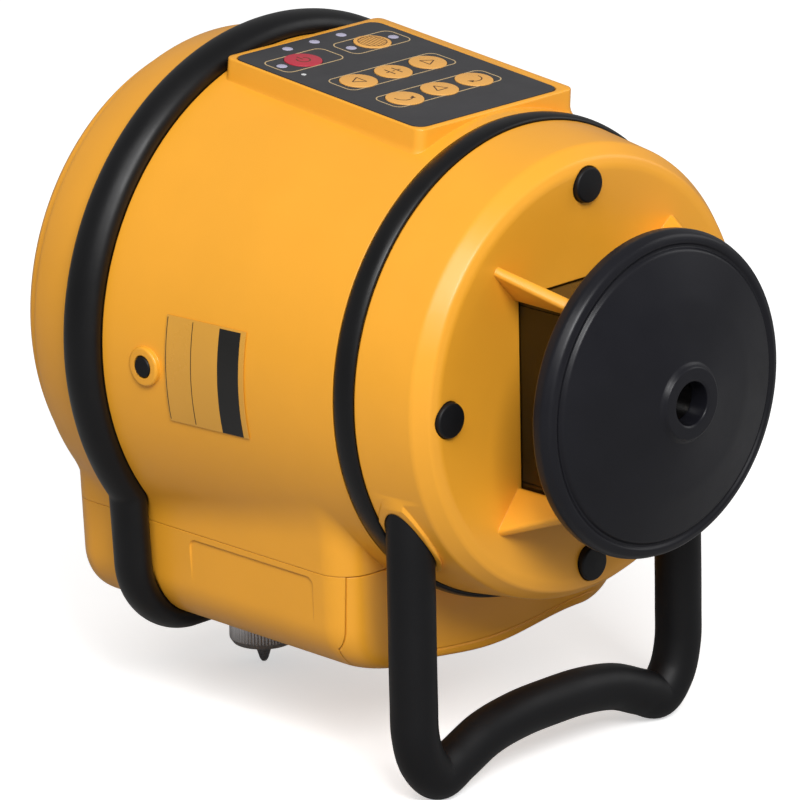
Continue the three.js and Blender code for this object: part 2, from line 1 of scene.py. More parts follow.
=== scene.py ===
"""A rotating laser level on its side, standing on its handle and its levelling foot.

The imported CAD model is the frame: it holds every size, place and joint. This script builds the
looks around it. Shapes are worked out in the instrument's own frame, in millimetres: y = 0 is the
plane of the cap's rim, +y runs to the rear base, z = 0 is the laser axis, and +z is up.
"""

import math

import bmesh
import bpy
import numpy as np
from mathutils import Matrix, Vector


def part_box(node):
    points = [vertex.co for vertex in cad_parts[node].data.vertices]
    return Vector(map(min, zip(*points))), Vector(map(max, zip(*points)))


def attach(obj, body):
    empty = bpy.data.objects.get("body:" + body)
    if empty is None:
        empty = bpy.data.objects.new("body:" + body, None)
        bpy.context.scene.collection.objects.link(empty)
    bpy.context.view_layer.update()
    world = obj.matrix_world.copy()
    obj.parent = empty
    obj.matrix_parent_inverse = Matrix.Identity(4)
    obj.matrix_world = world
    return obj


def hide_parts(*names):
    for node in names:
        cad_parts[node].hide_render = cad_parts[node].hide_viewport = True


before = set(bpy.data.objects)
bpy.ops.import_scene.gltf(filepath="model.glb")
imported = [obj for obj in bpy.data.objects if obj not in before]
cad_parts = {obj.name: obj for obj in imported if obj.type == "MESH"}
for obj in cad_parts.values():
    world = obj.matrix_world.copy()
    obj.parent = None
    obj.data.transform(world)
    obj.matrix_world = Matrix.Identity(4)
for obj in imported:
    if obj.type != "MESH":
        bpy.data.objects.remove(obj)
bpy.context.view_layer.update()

# -------- driving dimensions, in mm
MM = 0.001
HUB_Y = -14
CAP_R = 50
CAP_BACK_Y = 4.4
HEAD_REAR_Y, HEAD_R = 57.2, 73.2

# The two rubber rings are flattened: half their thickness, then half their width along the axis.
RING_Y, RING_R, RING_SECTION = 58.2, 73.2, (1.5, 4.0)
BUMPER_Y, BUMPER_R, BUMPER_SECTION = 160.8, 84.4, (4.9, 7.0)
BUMPER_HALF, BUMPER_DEPTH, BUMPER_CORNER, BUMPER_DRAFT = 67.1, 94, 22, 1.6

# The drum is a cone from its front to CONE_END_Y, and has the radius CONE_R at CONE_Y.
DRUM_FRONT_Y, DRUM_REAR_Y = 57.6, 188.5
CONE_R, CONE_Y, CONE_END_Y, REAR_ROUNDING = 74.3, 65.4, 162, 3.6
TAPER = math.radians(5.5)
BASE_R, BASE_REAR_Y = 77, 196

# The battery box: rounded by BOX_CORNER seen from above and by BOX_EDGE seen from the front.
BOX_HALF, BOX_BOTTOM, BOX_SAG, BOX_CORNER, BOX_EDGE = 63.5, 92.3, 3.3, 11, 17
BOX_DRAFT, DRAFT_HEIGHT = 1.2, 29
BOX_FRONT_Y, BOX_REAR_Y = 70, 195.5
SEAM_Z = -59
BOSS_R, BOSS_Y, BOSS_Z, BOSS_TIP = 6.2, 136.4, -0.8, 82.4
PAD_LEFT, PAD_RIGHT, PAD_FRONT_Y, PAD_REAR_Y, PAD_RISE = -31.2, 34.6, 66.5, 151.5, 0.8
KEY_R, KEY_PITCH, LED_R = 5.9, 14.7, 1.7
KEY_ROWS = {"mode": 134, "middle": 109.8, "lower": 89.9}
LANTERN_X, LANTERN_Z = 26.7, 29.6
LEG_X, LEG_Y, GRIP_R = 57.7, 47.1, 7.3
PLUG_RING_R, PLUG_R = 59.2, 5.4
FOOT_Y, BUSH_R = 175, 7
WALL = 2.6
GAP = 0.3
SEAM_GAP = 0.12

ring_low, ring_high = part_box("front_ring")
ORIGIN = Vector((0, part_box("cap_disc")[0].y - HUB_Y * MM, (ring_low.z + ring_high.z) / 2))


def drum_radius(y):
    """The outside radius of the drum at y: a cone up to the bumper, then rounding in to the rear."""
    straight = CONE_R + (min(y, CONE_END_Y) - CONE_Y) * math.tan(TAPER)
    behind = max(0.0, y - CONE_END_Y) / (DRUM_REAR_Y - CONE_END_Y)
    rounding = max(0.0, y - (DRUM_REAR_Y - 1))
    return straight - REAR_ROUNDING * behind**2 - (1 - math.sqrt(max(0.0, 1 - rounding**2)))


# -------- meshes
def to_world(points):
    """Instrument millimetres to the frame's metres."""
    return np.asarray(points, float) * MM + np.array(ORIGIN)


def new_object(name, data):
    """A new object in the scene."""
    made = bpy.data.objects.new(name, data)
    bpy.context.scene.collection.objects.link(made)
    return made


def mesh_object(name, vertices, faces, sharp=32):
    """A new smooth-shaded mesh object from instrument millimetres, sharp where it folds."""
    mesh = bpy.data.meshes.new(name)
    mesh.from_pydata(to_world(vertices).tolist(), [], [tuple(map(int, f)) for f in faces])
    mesh.validate()
    made = new_object(name, mesh)
    tidy_normals(made, sharp)
    return made


def tidy_normals(obj, sharp=32):
    """Faces point outward, shading is smooth, and edges over `sharp` degrees stay crisp."""
    work = bmesh.new()
    work.from_mesh(obj.data)
    bmesh.ops.remove_doubles(work, verts=work.verts, dist=1e-7)
    bmesh.ops.recalc_face_normals(work, faces=work.faces)
    work.to_mesh(obj.data)
    work.free()
    obj.data.shade_smooth()
    obj.data.set_sharp_from_angle(angle=math.radians(sharp))


def grid_faces(rows, columns, closed=True):
    """Quads of a rows-by-columns grid; closed joins the last column to the first."""
    faces = []
    for i in range(rows - 1):
        for j in range(columns if closed else columns - 1):
            k = (j + 1) % columns
            row, next_row = i * columns, (i + 1) * columns
            faces.append((row + j, row + k, next_row + k, next_row + j))
    return faces


def grid_object(name, rows, cap_ends=False, sharp=32):
    """A surface through equal rows of points; cap_ends closes its first and last row."""
    rows = np.asarray(rows, float)
    count, columns = rows.shape[:2]
    faces = grid_faces(count, columns)
    if cap_ends:
        faces.append(tuple(range(columns)))
        faces.append(tuple(range((count - 1) * columns, count * columns)))
    return mesh_object(name, rows.reshape(-1, 3), faces, sharp)


def full_turn(count):
    """Equal steps of angle round a circle."""
    return np.linspace(0, 2 * math.pi, count, endpoint=False)


def rounded_path(points, steps, closed):
    """A 2D outline with each corner (a, b, radius) rounded by its own radius."""
    path = []
    count = len(points)
    for i, (a, b, *rest) in enumerate(points):
        radius = rest[0] if rest else 0
        end = not closed and i in (0, count - 1)
        if radius == 0 or end:
            path.append((a, b))
            continue
        here = np.array((a, b), float)
        before = np.array(points[i - 1][:2], float) - here
        after = np.array(points[(i + 1) % count][:2], float) - here
        before /= np.linalg.norm(before)
        after /= np.linalg.norm(after)
        half = math.acos(np.clip(before @ after, -1, 1)) / 2
        if half > math.radians(89):
            path.append((a, b))
            continue
        middle = (before + after) / np.linalg.norm(before + after)
        centre = here + middle * radius / math.sin(half)
        first = here + before * radius / math.tan(half) - centre
        last = here + after * radius / math.tan(half) - centre
        for t in np.linspace(0, 1, steps + 1):
            spoke = first * (1 - t) + last * t
            path.append(tuple(centre + spoke / np.linalg.norm(spoke) * radius))
    return path


def turned(name, profile, segments, closed=True, x=0, z=0, steps=5):
    """A profile of (radius, y, corner radius) turned about an axis along Y."""
    path = rounded_path(profile, steps, closed)
    angles = full_turn(segments)
    rows = [[(x + r * math.cos(a), y, z + r * math.sin(a)) for a in angles] for r, y in path]
    if closed:
        rows.append(rows[0])
    return grid_object(name, rows, cap_ends=not closed)


def swing(obj, angle, axis, place):
    """Swings an object about the instrument's origin, then moves it to a place."""
    obj.data.transform(Matrix.Translation(-ORIGIN))
    obj.data.transform(Matrix.Rotation(angle, 4, axis))
    obj.data.transform(Matrix.Translation(ORIGIN + Vector(place) * MM))
    return obj


def turn_upright(obj, x, y):
    """Turns what was turned about Y onto the vertical axis at (x, y)."""
    return swing(obj, math.pi / 2, "X", (x, y, 0))


def turn_sideways(obj, y, z):
    """Turns what was turned about Y onto a horizontal axis along X at (y, z)."""
    return swing(obj, -math.pi / 2, "Z", (0, y, z))


def round_edges(work, radius, steps):
    """Rounds every edge of a bmesh."""
    bmesh.ops.bevel(
        work, geom=work.edges[:], offset=radius, segments=steps, profile=0.5, affect="EDGES",
        clamp_overlap=True,
    )


def from_bmesh(name, work):
    """A mesh object from a bmesh in instrument millimetres."""
    vertices = [v.co[:] for v in work.verts]
    faces = [[v.index for v in f.verts] for f in work.faces]
    work.free()
    return mesh_object(name, vertices, faces)


def block(name, low, high, bevel=0.0):
    """A box between two corners, with rounded edges."""
    work = bmesh.new()
    bmesh.ops.create_cube(work, size=1)
    size = Vector(high) - Vector(low)
    middle = (Vector(high) + Vector(low)) / 2
    bmesh.ops.scale(work, vec=size, verts=work.verts)
    bmesh.ops.translate(work, vec=middle, verts=work.verts)
    if bevel:
        round_edges(work, bevel, 3)
    return from_bmesh(name, work)


def world_object(name, work):
    """A mesh object from a bmesh that is already in the frame's metres."""
    mesh = bpy.data.meshes.new(name)
    work.to_mesh(mesh)
    work.free()
    return new_object(name, mesh)


def join(name, parts):
    """Several objects made into one mesh object."""
    work = bmesh.new()
    for part in parts:
        work.from_mesh(part.data)
        bpy.data.objects.remove(part)
    return world_object(name, work)


def carve(obj, cutters, operation="DIFFERENCE"):
    """Applies a boolean with each cutter and removes the cutters."""
    for cutter in cutters:
        step = obj.modifiers.new("carve", "BOOLEAN")
        step.operation = operation
        step.solver = "MANIFOLD"
        step.object = cutter
    bpy.context.view_layer.update()
    evaluated = obj.evaluated_get(bpy.context.evaluated_depsgraph_get())
    shaped = bpy.data.meshes.new_from_object(evaluated)
    obj.modifiers.clear()
    obj.data = shaped
    for cutter in cutters:
        bpy.data.objects.remove(cutter)
    tidy_normals(obj)
    return obj


def tube(name, path, radius, sides):
    """A round bar along a path that lies in a plane of constant y."""
    path = np.asarray(path, float)
    ahead = np.gradient(path, axis=0)
    ahead /= np.linalg.norm(ahead, axis=1)[:, None]
    side = np.cross(ahead, (0, 1, 0))
    angles = full_turn(sides)
    rows = [
        [p + radius * (math.cos(a) * s + math.sin(a) * np.array((0, 1, 0))) for a in angles]
        for p, s in zip(path, side)
    ]
    return grid_object(name, rows, cap_ends=True)


def smooth_curve(points, steps):
    """A centripetal Catmull-Rom curve through given points."""

    def mixed(a, b, start, end, t):
        return (a * (end - t) + b * (t - start)) / (end - start)

    points = [np.asarray(p, float) for p in points]
    points = [2 * points[0] - points[1], *points, 2 * points[-1] - points[-2]]
    path = []
    for i in range(1, len(points) - 2):
        p0, p1, p2, p3 = points[i - 1 : i + 3]
        t0 = 0
        t1 = t0 + np.linalg.norm(p1 - p0) ** 0.5
        t2 = t1 + np.linalg.norm(p2 - p1) ** 0.5
        t3 = t2 + np.linalg.norm(p3 - p2) ** 0.5
        for t in np.linspace(t1, t2, steps, endpoint=False):
            a1 = mixed(p0, p1, t0, t1, t)
            a2 = mixed(p1, p2, t1, t2, t)
            a3 = mixed(p2, p3, t2, t3, t)
            b1 = mixed(a1, a2, t0, t2, t)
            b2 = mixed(a2, a3, t1, t3, t)
            path.append(mixed(b1, b2, t1, t2, t))
    path.append(points[-2])
    return path


def finish_piece(obj, material, body="housing", replaces=()):
    """Gives a piece its material, the body it rides on and the CAD nodes it stands for."""
    obj.data.materials.clear()
    obj.data.materials.append(material)
    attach(obj, body)
    if replaces:
        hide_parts(*replaces)
    return obj


# -------- materials
def set_inputs(node, values):
    """Sets a node's inputs, by name or by number."""
    for name, value in values.items():
        node.inputs[name].default_value = value


def shader(name, base, roughness, metallic=0.0, coat=0.0):
    """A Principled material, its nodes and its Principled node."""
    material = bpy.data.materials.new(name)
    material.use_nodes = True
    nodes, links = material.node_tree.nodes, material.node_tree.links
    principled = nodes["Principled BSDF"]
    set_inputs(principled, {"Base Color": (*base, 1), "Roughness": roughness})
    set_inputs(principled, {"Metallic": metallic, "Coat Weight": coat})
    return material, nodes, links, principled


def noise(nodes, links, scale, detail, stretch=None):
    """A noise texture in object space, stretched if asked."""
    place = nodes.new("ShaderNodeTexCoord")
    texture = nodes.new("ShaderNodeTexNoise")
    set_inputs(texture, {"Scale": scale, "Detail": detail, "Roughness": 0.6})
    source = place.outputs["Object"]
    if stretch:
        mapping = nodes.new("ShaderNodeMapping")
        set_inputs(mapping, {"Scale": stretch})
        links.new(source, mapping.inputs["Vector"])
        source = mapping.outputs["Vector"]
    links.new(source, texture.inputs["Vector"])
    return texture.outputs["Fac"]


def spread(nodes, links, value, low, high):
    """Maps a noise value, which keeps mostly within 0.3 to 0.7, onto low to high."""
    ranged = nodes.new("ShaderNodeMapRange")
    set_inputs(ranged, {"From Min": 0.3, "From Max": 0.7, "To Min": low, "To Max": high})
    links.new(value, ranged.inputs["Value"])
    return ranged.outputs["Result"]


def tint(nodes, links, principled, value, dark, light):
    """Varies the base colour between two tones."""
    ramp = nodes.new("ShaderNodeValToRGB")
    for stop, position, colour in zip(ramp.color_ramp.elements, (0.35, 0.65), (dark, light)):
        stop.position = position
        stop.color = (*colour, 1)
    links.new(value, ramp.inputs["Fac"])
    links.new(ramp.outputs["Color"], principled.inputs["Base Color"])


def grain(nodes, links, principled, value, depth_mm, edge_mm):
    """A fine bump of the given depth, over edges softened by edge_mm."""
    bump = nodes.new("ShaderNodeBump")
    set_inputs(bump, {"Strength": 1.0, "Distance": depth_mm * MM})
    links.new(value, bump.inputs["Height"])
    if edge_mm:
        edge = nodes.new("ShaderNodeBevel")
        edge.samples = 6
        set_inputs(edge, {"Radius": edge_mm * MM})
        links.new(edge.outputs["Normal"], bump.inputs["Normal"])
    links.new(bump.outputs["Normal"], principled.inputs["Normal"])


def shade_of(base, factor):
    """A colour made darker or lighter by a factor."""
    return tuple(min(1.0, c * factor) for c in base)


def plastic(name, base, roughness, grain_scale, grain_mm, variation, edge_mm=0.5, coat=0.0, sheen=0.5):
    """Moulded plastic or rubber: a spark-eroded grain, faint tone and gloss changes, soft edges."""
    material, nodes, links, principled = shader(name, base, roughness, coat=coat)
    set_inputs(principled, {"Specular IOR Level": sheen})
    cloud = noise(nodes, links, 26, 3)
    tint(nodes, links, principled, cloud, shade_of(base, 1 - variation), shade_of(base, 1 + variation))
    gloss = spread(nodes, links, noise(nodes, links, 70, 6), roughness - 0.05, roughness + 0.06)
    links.new(gloss, principled.inputs["Roughness"])
    grain(nodes, links, principled, noise(nodes, links, grain_scale, 2), grain_mm, edge_mm)
    return material


def metal(name, base, roughness, stretch, lines, depth_mm):
    """Turned or brushed metal, with fine tool marks stretched one way."""
    material, nodes, links, principled = shader(name, base, roughness, metallic=1.0)
    marks = noise(nodes, links, lines, 3, stretch)
    tint(nodes, links, principled, marks, shade_of(base, 0.92), shade_of(base, 1.08))
    gloss = spread(nodes, links, marks, roughness * 0.7, roughness * 1.4)
    links.new(gloss, principled.inputs["Roughness"])
    grain(nodes, links, principled, marks, depth_mm, 0.15)
    return material


def tinted_glass(name, base):
    """Dark tinted window glass with a faint smear on it."""
    material, nodes, links, principled = shader(name, base, 0.04)
    set_inputs(principled, {"Transmission Weight": 0.85, "IOR": 1.5})
    smear = noise(nodes, links, 60, 5)
    links.new(spread(nodes, links, smear, 0.02, 0.12), principled.inputs["Roughness"])
    cloud = noise(nodes, links, 15, 2)
    tint(nodes, links, principled, cloud, shade_of(base, 0.9), shade_of(base, 1.1))
    return material


# Each plastic: base colour, roughness, grain scale and depth in mm, then how much its tone varies.
YELLOW = plastic("yellow_shell", (0.88, 0.385, 0.027), 0.36, 1500, 0.008, 0.02, coat=0.06)
CAP_BLACK = plastic("cap_black", (0.0075, 0.0075, 0.0105), 0.34, 1300, 0.010, 0.12, sheen=0.27)
RUBBER = plastic("black_rubber", (0.0030, 0.0030, 0.0036), 0.38, 900, 0.012, 0.2, 0.3, sheen=0.33)
GRIP = plastic("grip_rubber", (0.0042, 0.0042, 0.0050), 0.48, 1800, 0.016, 0.15, 0.3, sheen=0.27)
PLUG_BLACK = plastic("plug_black", (0.004, 0.004, 0.005), 0.5, 1600, 0.010, 0.2, 0.2, sheen=0.3)
OVERLAY = plastic("overlay_film", (0.034, 0.033, 0.036), 0.42, 3000, 0.003, 0.05, 0.1)
AMBER = plastic("amber_print", (0.80, 0.40, 0.09), 0.42, 3000, 0.003, 0.03, 0.15)
RED = plastic("red_print", (0.50, 0.030, 0.055), 0.40, 3000, 0.003, 0.03, 0.15)
CREAM = plastic("cream_print", (0.58, 0.42, 0.22), 0.5, 2500, 0.002, 0.05, 0.0)
INK = plastic("icon_ink", (0.10, 0.045, 0.018), 0.5, 2500, 0.002, 0.05, 0.0)
LED_LENS = plastic("led_lens", (0.44, 0.42, 0.55), 0.25, 1200, 0.004, 0.06, 0.1)
WHITE_DOT = plastic("sensor_dot", (0.75, 0.75, 0.75), 0.3, 1200, 0.002, 0.03, 0.1)
LABEL_YELLOW = plastic("label_film", (0.70, 0.34, 0.045), 0.3, 2500, 0.002, 0.03, 0.1)
LABEL_BLACK = plastic("label_band", (0.010, 0.009, 0.008), 0.32, 2500, 0.002, 0.1, 0.1)
CHROME = metal("chrome", (0.72, 0.71, 0.72), 0.15, (1, 1, 0.05), 1400, 0.003)
STEEL = metal("turned_steel", (0.50, 0.50, 0.52), 0.26, (1, 1, 12), 500, 0.004)
BRASS = metal("machined_brass", (0.66, 0.47, 0.20), 0.28, (1, 10, 1), 500, 0.004)
ALUMINIUM = metal("machined_aluminium", (0.60, 0.61, 0.63), 0.34, (1, 10, 1), 500, 0.004)
GLASS = tinted_glass("lantern_glass", (0.050, 0.030, 0.009))
DARK_GLASS = tinted_glass("plumb_glass", (0.012, 0.010, 0.008))
BOARD = plastic("solder_mask", (0.012, 0.10, 0.045), 0.35, 700, 0.006, 0.2, coat=0.3)
CELL = plastic("cell_sleeve", (0.05, 0.06, 0.075), 0.3, 800, 0.002, 0.1, coat=0.2)


# -------- drum, box and bumper outlines
THETA = np.linspace(-math.pi, math.pi, 600, endpoint=False)


def smooth_max(a, b, blend):
    """The larger of two radii, with a fillet where they are within `blend` of each other."""
    near = np.maximum(blend - np.abs(a - b), 0) / blend
    return np.maximum(a, b) + near**2 * blend / 4


def rounded_box_reach(half, depth, corner, draft, sag=0.0):
    """How far a rounded box that hangs under the axis reaches along each THETA.

    Half is its half width at the lower corners; it is wider by draft at DRAFT_HEIGHT above them.
    """
    across = np.abs(np.cos(THETA))
    down = np.maximum(-np.sin(THETA), 1e-6)
    inner_x, inner_z = half - corner, depth - corner
    reach = depth / down
    for _ in range(5):
        x = np.minimum(reach * across / inner_x, 1)
        reach = (depth + sag * np.cos(x * math.pi / 2) ** 2) / down
    slope = draft / DRAFT_HEIGHT
    reach = np.minimum(reach, (half + slope * inner_z) / np.maximum(across + slope * down, 1e-9))
    in_corner = (reach * across > inner_x) & (reach * down > inner_z)
    along = across * inner_x + down * inner_z
    square = np.maximum(along**2 - inner_x**2 - inner_z**2 + corner**2, 0)
    reach = np.where(in_corner, along + np.sqrt(square), reach)
    return np.where(THETA < 0, reach, 0)


def box_section(inset, drawn_in=0.0):
    """The battery box's outline, inset all round, with its sides drawn in further."""
    half = BOX_HALF - BOX_DRAFT - inset - drawn_in
    return rounded_box_reach(half, BOX_BOTTOM - inset, BOX_EDGE - inset, BOX_DRAFT, BOX_SAG)


def box_reach(y, inset=0.0):
    """The battery box's outline at y, with its plan corners rounded."""
    corner = BOX_CORNER
    into = max(0.0, BOX_FRONT_Y + corner - y, y - (BOX_REAR_Y - corner))
    if into > corner + 1e-6:
        return np.zeros_like(THETA)
    drawn_in = corner - math.sqrt(max(0.0, corner**2 - into**2))
    return box_section(inset, drawn_in)


def bumper_reach(offset):
    """The bumper's path, moved outward by offset: round the drum, down the box and under it."""
    circle = np.full_like(THETA, BUMPER_R + offset)
    half, depth, corner = (size + offset for size in (BUMPER_HALF, BUMPER_DEPTH, BUMPER_CORNER))
    return smooth_max(circle, rounded_box_reach(half, depth, corner, BUMPER_DRAFT), 0.4)


def polar_rows(rows):
    """Points for rows of (y, radii over THETA)."""
    return [
        np.stack((radii * np.cos(THETA), np.full_like(THETA, y), radii * np.sin(THETA)), axis=1)
        for y, radii in rows
    ]


def body_rows():
    """The drum with the battery box under it and the bumper's groove, as rows of radii."""
    fillet, edge = 4.0, 1.2
    before_box = [*np.arange(DRUM_FRONT_Y, BOX_FRONT_Y, 1.4), BOX_FRONT_Y]
    rows = [(y, np.full_like(THETA, drum_radius(y))) for y in before_box]
    deep, wide = (half + GAP for half in BUMPER_SECTION)
    stations = np.concatenate((
        BOX_FRONT_Y + edge * (1 - np.cos(np.linspace(0, math.pi / 2, 6))),
        np.linspace(BOX_FRONT_Y + edge, BOX_FRONT_Y + BOX_CORNER, 10)[1:],
        np.arange(BOX_FRONT_Y + BOX_CORNER + 1.5, BUMPER_Y - wide - 1.5, 1.6),
        BUMPER_Y + wide * np.sin(np.linspace(-math.pi / 2, math.pi / 2, 27)),
        np.linspace(BUMPER_Y + wide + 0.5, DRUM_REAR_Y - 1, 16),
        DRUM_REAR_Y - 1 + np.sin(np.linspace(0, math.pi / 2, 5))[1:],
        np.linspace(DRUM_REAR_Y + 0.5, BOX_REAR_Y - edge, 6),
        BOX_REAR_Y - edge * (1 - np.cos(np.linspace(math.pi / 2, 0, 6)))[1:],
    ))
    for y in stations:
        into = max(0.0, BOX_FRONT_Y + edge - y, y - (BOX_REAR_Y - edge))
        rounding = edge - math.sqrt(max(0.0, edge**2 - into**2))
        box = box_reach(min(max(y, BOX_FRONT_Y + 1e-6), BOX_REAR_Y - 1e-6))
        box = np.where(box > 0, box - rounding, 0)
        drum = drum_radius(y) if y <= DRUM_REAR_Y + 1e-6 else BASE_R - 2
        radii = smooth_max(np.full_like(THETA, drum), box, fillet)
        away = abs(y - BUMPER_Y) / wide
        if away < 1:
            radii = np.minimum(radii, bumper_reach(-deep * math.sqrt(1 - away**2)))
        rows.append((y, radii))
    return rows


# -------- body, case, door and base
def below(z, front=-60):
    """A cutter for everything under z, from y = front backwards."""
    return block("below", (-130, front, -180), (130, 260, z))


def above(z):
    """A cutter for everything over z."""
    return block("above", (-130, -60, z), (130, 260, 130))


def bar(radius, start, end, axis, x=0, y=0, z=0, sides=64, round_end=0.0):
    """A round cutter or boss along an axis, from start to end."""
    profile = [(0.001, start), (radius, start), (radius, end, round_end), (0.001, end)]
    made = turned("bar", profile, sides, closed=False)
    if axis == "Z":
        return turn_upright(made, x, y)
    if axis == "X":
        return turn_sideways(made, y, z)
    made.data.transform(Matrix.Translation(Vector((x, 0, z)) * MM))
    return made


def drum_front():
    """A cutter for the whole drum in front of the battery box."""
    return block("drum_front", (-130, 40, -130), (130, BOX_FRONT_Y, 130))


def rectangle(x0, x1, y0, y1, radius):
    """A rounded rectangle's outline, anticlockwise."""
    corners = [(x0, y0, radius), (x1, y0, radius), (x1, y1, radius), (x0, y1, radius)]
    return rounded_path(corners, 6, closed=True)


def prism(name, outline, levels, place):
    """An outline in (u, v) stacked at levels of (w, inset), then put in place."""
    outline = np.asarray(outline, float)
    ahead = np.roll(outline, -1, axis=0) - np.roll(outline, 1, axis=0)
    out = np.stack((ahead[:, 1], -ahead[:, 0]), axis=1)
    out /= np.linalg.norm(out, axis=1)[:, None]
    rows = []
    for w, inset in levels:
        rows.append([place(u, v, w) for u, v in outline - out * inset])
    return grid_object(name, rows, cap_ends=True)


def facing_front(u, v, w):
    """Puts an outline in x and z at the depth y = w."""
    return u, w, v


PAD_TOP_Z = drum_radius(PAD_FRONT_Y) + PAD_RISE


def on_pad(u, y, w):
    """A point on the keypad's tilted top: u across, y along the drum and w above the surface."""
    along = (y - PAD_FRONT_Y) / math.cos(TAPER)
    return (
        u,
        PAD_FRONT_Y + along * math.cos(TAPER) - w * math.sin(TAPER),
        PAD_TOP_Z + along * math.sin(TAPER) + w * math.cos(TAPER),
    )


KEYS = {
    "power_key": (-KEY_PITCH, KEY_ROWS["mode"]),
    "speed_key": (KEY_PITCH, KEY_ROWS["mode"]),
    "left_key": (-KEY_PITCH, KEY_ROWS["middle"]),
    "mode_key": (0, KEY_ROWS["middle"]),
    "right_key": (KEY_PITCH, KEY_ROWS["middle"]),
    "turn_left_key": (-KEY_PITCH, KEY_ROWS["lower"]),
    "up_key": (0, KEY_ROWS["lower"]),
    "turn_right_key": (KEY_PITCH, KEY_ROWS["lower"]),
}
LEDS = {
    "battery_led": (-10.8, 145),
    "level_led": (0.6, 145),
    "tilt_led": (12, 145),
    "power_led": (-23.6, KEY_ROWS["mode"]),
    "slow_led": (5.7, KEY_ROWS["mode"]),
    "fast_led": (23.7, KEY_ROWS["mode"]),
}


def pad_disc(name, radius, u, y, levels, sides=48):
    """A round piece standing square to the keypad, as levels of (height, inset)."""
    angles = full_turn(sides)
    outline = [(u + radius * math.cos(a), y + radius * math.sin(a)) for a in angles]
    return prism(name, outline, levels, on_pad)


def base_pocket():
    """The round room for the rear base, in the back of the drum and of the battery box."""
    return bar(BASE_R + GAP, DRUM_REAR_Y - 0.05, 210, "Y", sides=240)


def drum_hollow():
    """The drum's hollow, with a thicker wall behind the two rubber rings' grooves."""
    ring_wall, rear_wall = 69.4, 76.6
    profile = [
        (0.001, 50), (ring_wall, 50), (ring_wall, 65), (drum_radius(67) - WALL, 67),
        (drum_radius(150) - WALL, 150), (rear_wall, 153), (rear_wall, 200), (0.001, 200),
    ]
    return turned("drum_hollow", profile, 160, closed=False)


def pad_block():
    """The keypad's raised block: a soft top edge and sides that sweep out onto the drum."""
    outline = rectangle(PAD_LEFT, PAD_RIGHT, PAD_FRONT_Y, PAD_REAR_Y, 3)
    edge = [(0, 0.55), (-0.12, 0.26), (-0.3, 0.08), (-0.55, 0)]
    sweep = [(-6, -0.1), (-7.2, -0.4), (-8.4, -1.0), (-9.6, -1.9), (-11, -3.3), (-12.8, -5.4)]
    return prism("pad", outline, edge + sweep, on_pad)


def make_body():
    """The drum above the parting line, with the keypad's pad, the bosses and the lock's slot."""
    shell = grid_object("body_shell", polar_rows(body_rows()), cap_ends=True)
    bosses = [
        bar(BOSS_R, 60 * side, BOSS_TIP * side, "X", y=BOSS_Y, z=BOSS_Z, round_end=0.8)
        for side in (-1, 1)
    ]
    lock_boss = block("lock_boss", (70, 92, -9), (81.6, 120, 9), 1.2)
    carve(shell, [pad_block(), *bosses, lock_boss], "UNION")
    box_hollow = in_box("box_hollow", WALL, BOX_FRONT_Y + WALL, 150, -10, BOX_CORNER - WALL)
    hollows = [carve(hollow, [below(SEAM_Z + WALL)]) for hollow in (drum_hollow(), box_hollow)]
    overlay = prism("overlay", overlay_outline(0.3), [(-0.8, 0), (5, 0)], on_pad)
    holes = [pad_disc("hole", KEY_R + GAP, u, y, [(-12, 0), (2, 0)]) for u, y in KEYS.values()]
    plugs = [bar(3.6, 78 * side, 90 * side, "X", y=BOSS_Y, z=BOSS_Z) for side in (-1, 1)]
    slot = block("slot", (79.2, 96, -5), (90, 116, 5), 0.8)
    ring = turned("ring", ring_profile(GAP), 240)
    under_box = below(SEAM_Z, BOX_FRONT_Y - GAP)
    carve(shell, [under_box, *hollows, overlay, *holes, *plugs, slot, ring, base_pocket()])
    return finish_piece(shell, YELLOW, replaces=["body_housing"])


def ring_profile(clearance):
    """The flattened section of the front ring."""
    thick, wide = (half + clearance for half in RING_SECTION)
    angles = full_turn(32)
    return [(RING_R + thick * math.cos(a), RING_Y + wide * math.sin(a)) for a in angles]


def in_box(name, inset, y0, y1, top, corner=0.0):
    """A plug that fills the battery box, drawn in by inset, from y0 to y1 and up to a height.

    Its front end is rounded by `corner`, to keep clear of the box's plan corners.
    """
    reach = box_section(inset)
    under = np.flatnonzero(reach * np.sin(THETA) < top)
    under = under[reach[under] > 0]
    outline = [(reach[i] * math.cos(THETA[i]), reach[i] * math.sin(THETA[i])) for i in under]
    outline = [(outline[0][0], top), *outline, (outline[-1][0], top)]
    turns = np.linspace(0, math.pi / 2, 7) if corner else [math.pi / 2]
    front_end = [(y0 + corner * (1 - math.cos(a)), corner * (1 - math.sin(a))) for a in turns]
    return prism(name, outline, [*front_end, (y1, 0)], facing_front)


def side_panel(side):
    """The shallow recess in a side wall of the battery case, where a badge would go."""
    outline = rectangle(84.7, 139.4, -77.7, -61.2, 2.5)
    wall, depth, edge = BOX_HALF - BOX_DRAFT / 2, 0.6, 0.2
    levels = [(side * (wall - depth), 0.35), (side * (wall - edge), 0), (side * 80, 0)]
    return prism("side_panel", outline, levels, lambda u, v, w: (w, u, v))


DOOR_HALF, DOOR_REAR_Y, DOOR_CREASE_INSET = 59.4, 77, 3.2
BAY_REAR_Y = 130


def doorway(gap):
    """The room of the battery door, grown by a gap: the front of the box between its corner posts."""
    half = DOOR_HALF + gap
    return block("doorway", (-half, 40, -120), (half, DOOR_REAR_Y + gap, SEAM_Z - GAP + gap))


